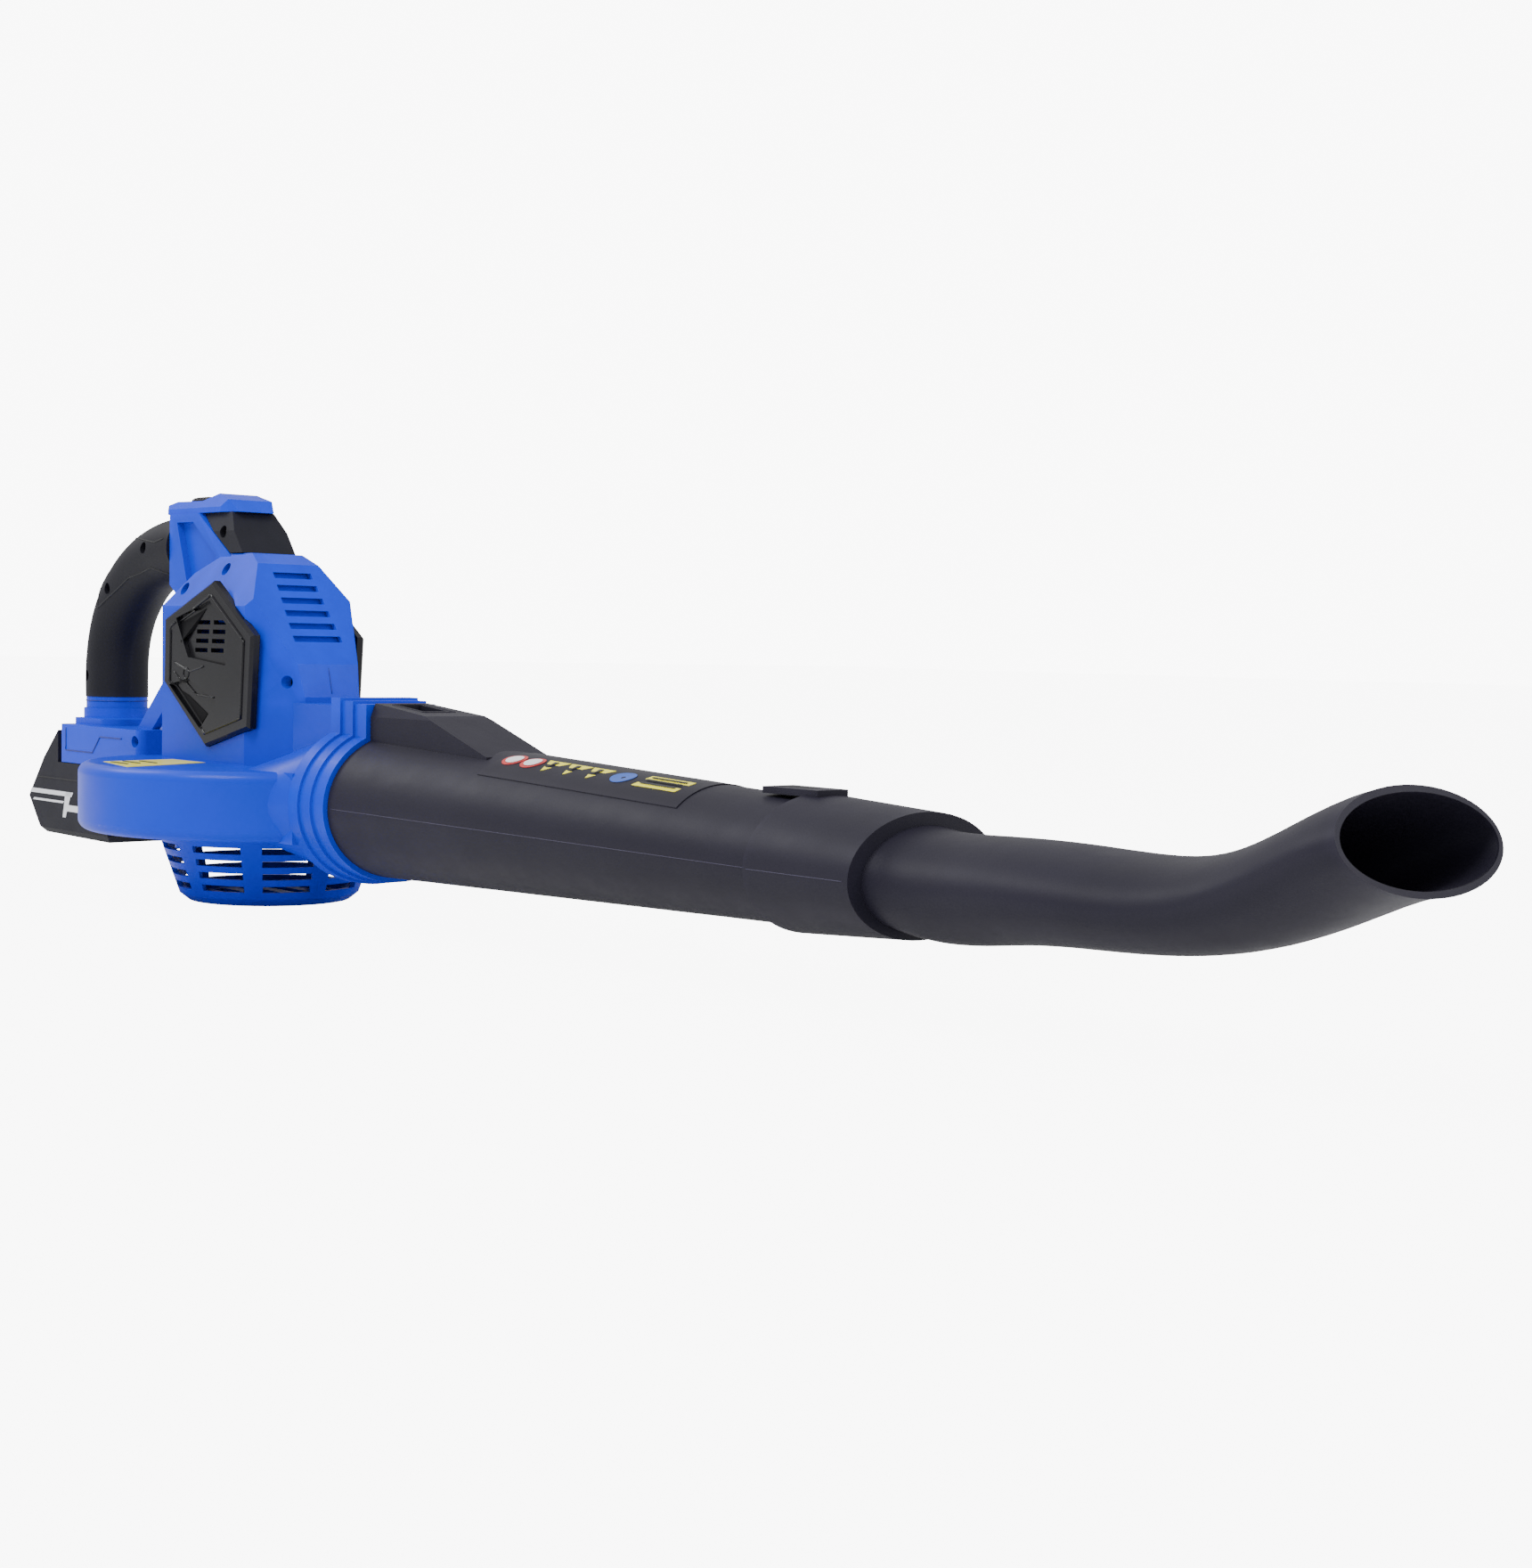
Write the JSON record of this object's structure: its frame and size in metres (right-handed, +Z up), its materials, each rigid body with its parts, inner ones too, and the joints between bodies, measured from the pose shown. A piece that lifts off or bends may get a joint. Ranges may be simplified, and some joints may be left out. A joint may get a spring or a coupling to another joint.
{
  "type": "leaf blower",
  "caption": "Battery leaf blower with loop handle, fan drum, slide switch, rear tube and bent flat nozzle that pull apart, and a slide-out pack",
  "frame": {"origin": "foot of the fan axis, on the plane the intake grille stands on", "axes": "+X along the blow tube towards the nozzle, +Y to the left of the tool, +Z up"},
  "size_m": [0.9823, 0.21, 0.23],
  "materials": {
    "blue_plastic": "moulded blue, light gloss",
    "black_plastic": "matte black moulding",
    "tube_plastic": "dark grey fine texture",
    "cover_plastic": "glossier black",
    "steel": "bright steel",
    "black_steel": "blackened steel",
    "copper": "copper",
    "magnet": "ferrite",
    "carbon": "carbon brush",
    "board_green": "circuit board",
    "label_yellow": "printed label, blank",
    "label_dark": "sticker, blank shapes",
    "cell_wrap": "cell wrapper",
    "white_print": "white accent"
  },
  "bodies": {
    "body": {"housing_right": "blue_plastic", "housing_left": "blue_plastic", "intake_grille": "blue_plastic", "grille_screws": "black_steel", "housing_screws": "black_steel", "grip_right": "black_plastic", "grip_left": "black_plastic", "grip_screws": "black_steel", "front_neck_right": "black_plastic", "front_neck_left": "black_plastic", "neck_screw": "black_steel", "neck_ring": "blue_plastic", "side_cover_right": "cover_plastic", "side_cover_left": "cover_plastic", "switch_bezel": "blue_plastic", "switch_body": "black_plastic", "motor_can": "steel", "motor_plate": "black_plastic", "motor_screws": "steel", "magnets": "magnet", "end_bell": "black_plastic", "brushes": "carbon", "bearings": "steel", "control_board": "board_green", "board_parts": "black_plastic", "motor_leads": "black_plastic", "terminal_block": "black_plastic", "terminal_blades": "copper", "drum_label": "label_yellow"},
    "fan_rotor": {"motor_shaft": "steel", "armature": "copper", "commutator": "copper", "fan": "black_plastic", "fan_nut": "steel"},
    "knob": {"switch_knob": "cover_plastic"},
    "pack": {"pack_lower": "black_plastic", "pack_upper": "black_plastic", "cells": "cell_wrap", "cell_holders": "black_plastic", "cell_straps": "steel", "pack_stripe": "white_print"},
    "release": {"release_button": "cover_plastic"},
    "blow_tube": {"rear_tube": "tube_plastic", "tube_label": "label_dark", "latch_spring": "steel"},
    "latch": {"tube_latch": "cover_plastic"},
    "spout": {"nozzle": "tube_plastic"}
  },
  "joints": [
    {"name": "fan_spin", "type": "hinge", "parent": "body", "child": "fan_rotor", "pos_m": [0, 0, 0.059], "axis": [0, 0, 1], "continuous": true},
    {"name": "switch_slide", "type": "slide", "parent": "body", "child": "knob", "axis": [1, 0, 0], "range_m": [0, 0.008]},
    {"name": "pack_slide", "type": "slide", "parent": "body", "child": "pack", "axis": [-1, 0, 0], "range_m": [0, 0.09]},
    {"name": "release_press", "type": "slide", "parent": "pack", "child": "release", "axis": [0.6691, 0, -0.7431], "range_m": [0, 0.003], "stiffness_N_per_m": 300},
    {"name": "tube_pull", "type": "slide", "parent": "body", "child": "blow_tube", "axis": [1, 0, 0], "range_m": [0, 0.05]},
    {"name": "latch_press", "type": "slide", "parent": "blow_tube", "child": "latch", "axis": [0, 0, -1], "range_m": [0, 0.002], "stiffness_N_per_m": 300, "deforming": ["latch_spring"]},
    {"name": "nozzle_pull", "type": "slide", "parent": "blow_tube", "child": "spout", "axis": [1, 0, 0], "range_m": [0, 0.08]}
  ]
}
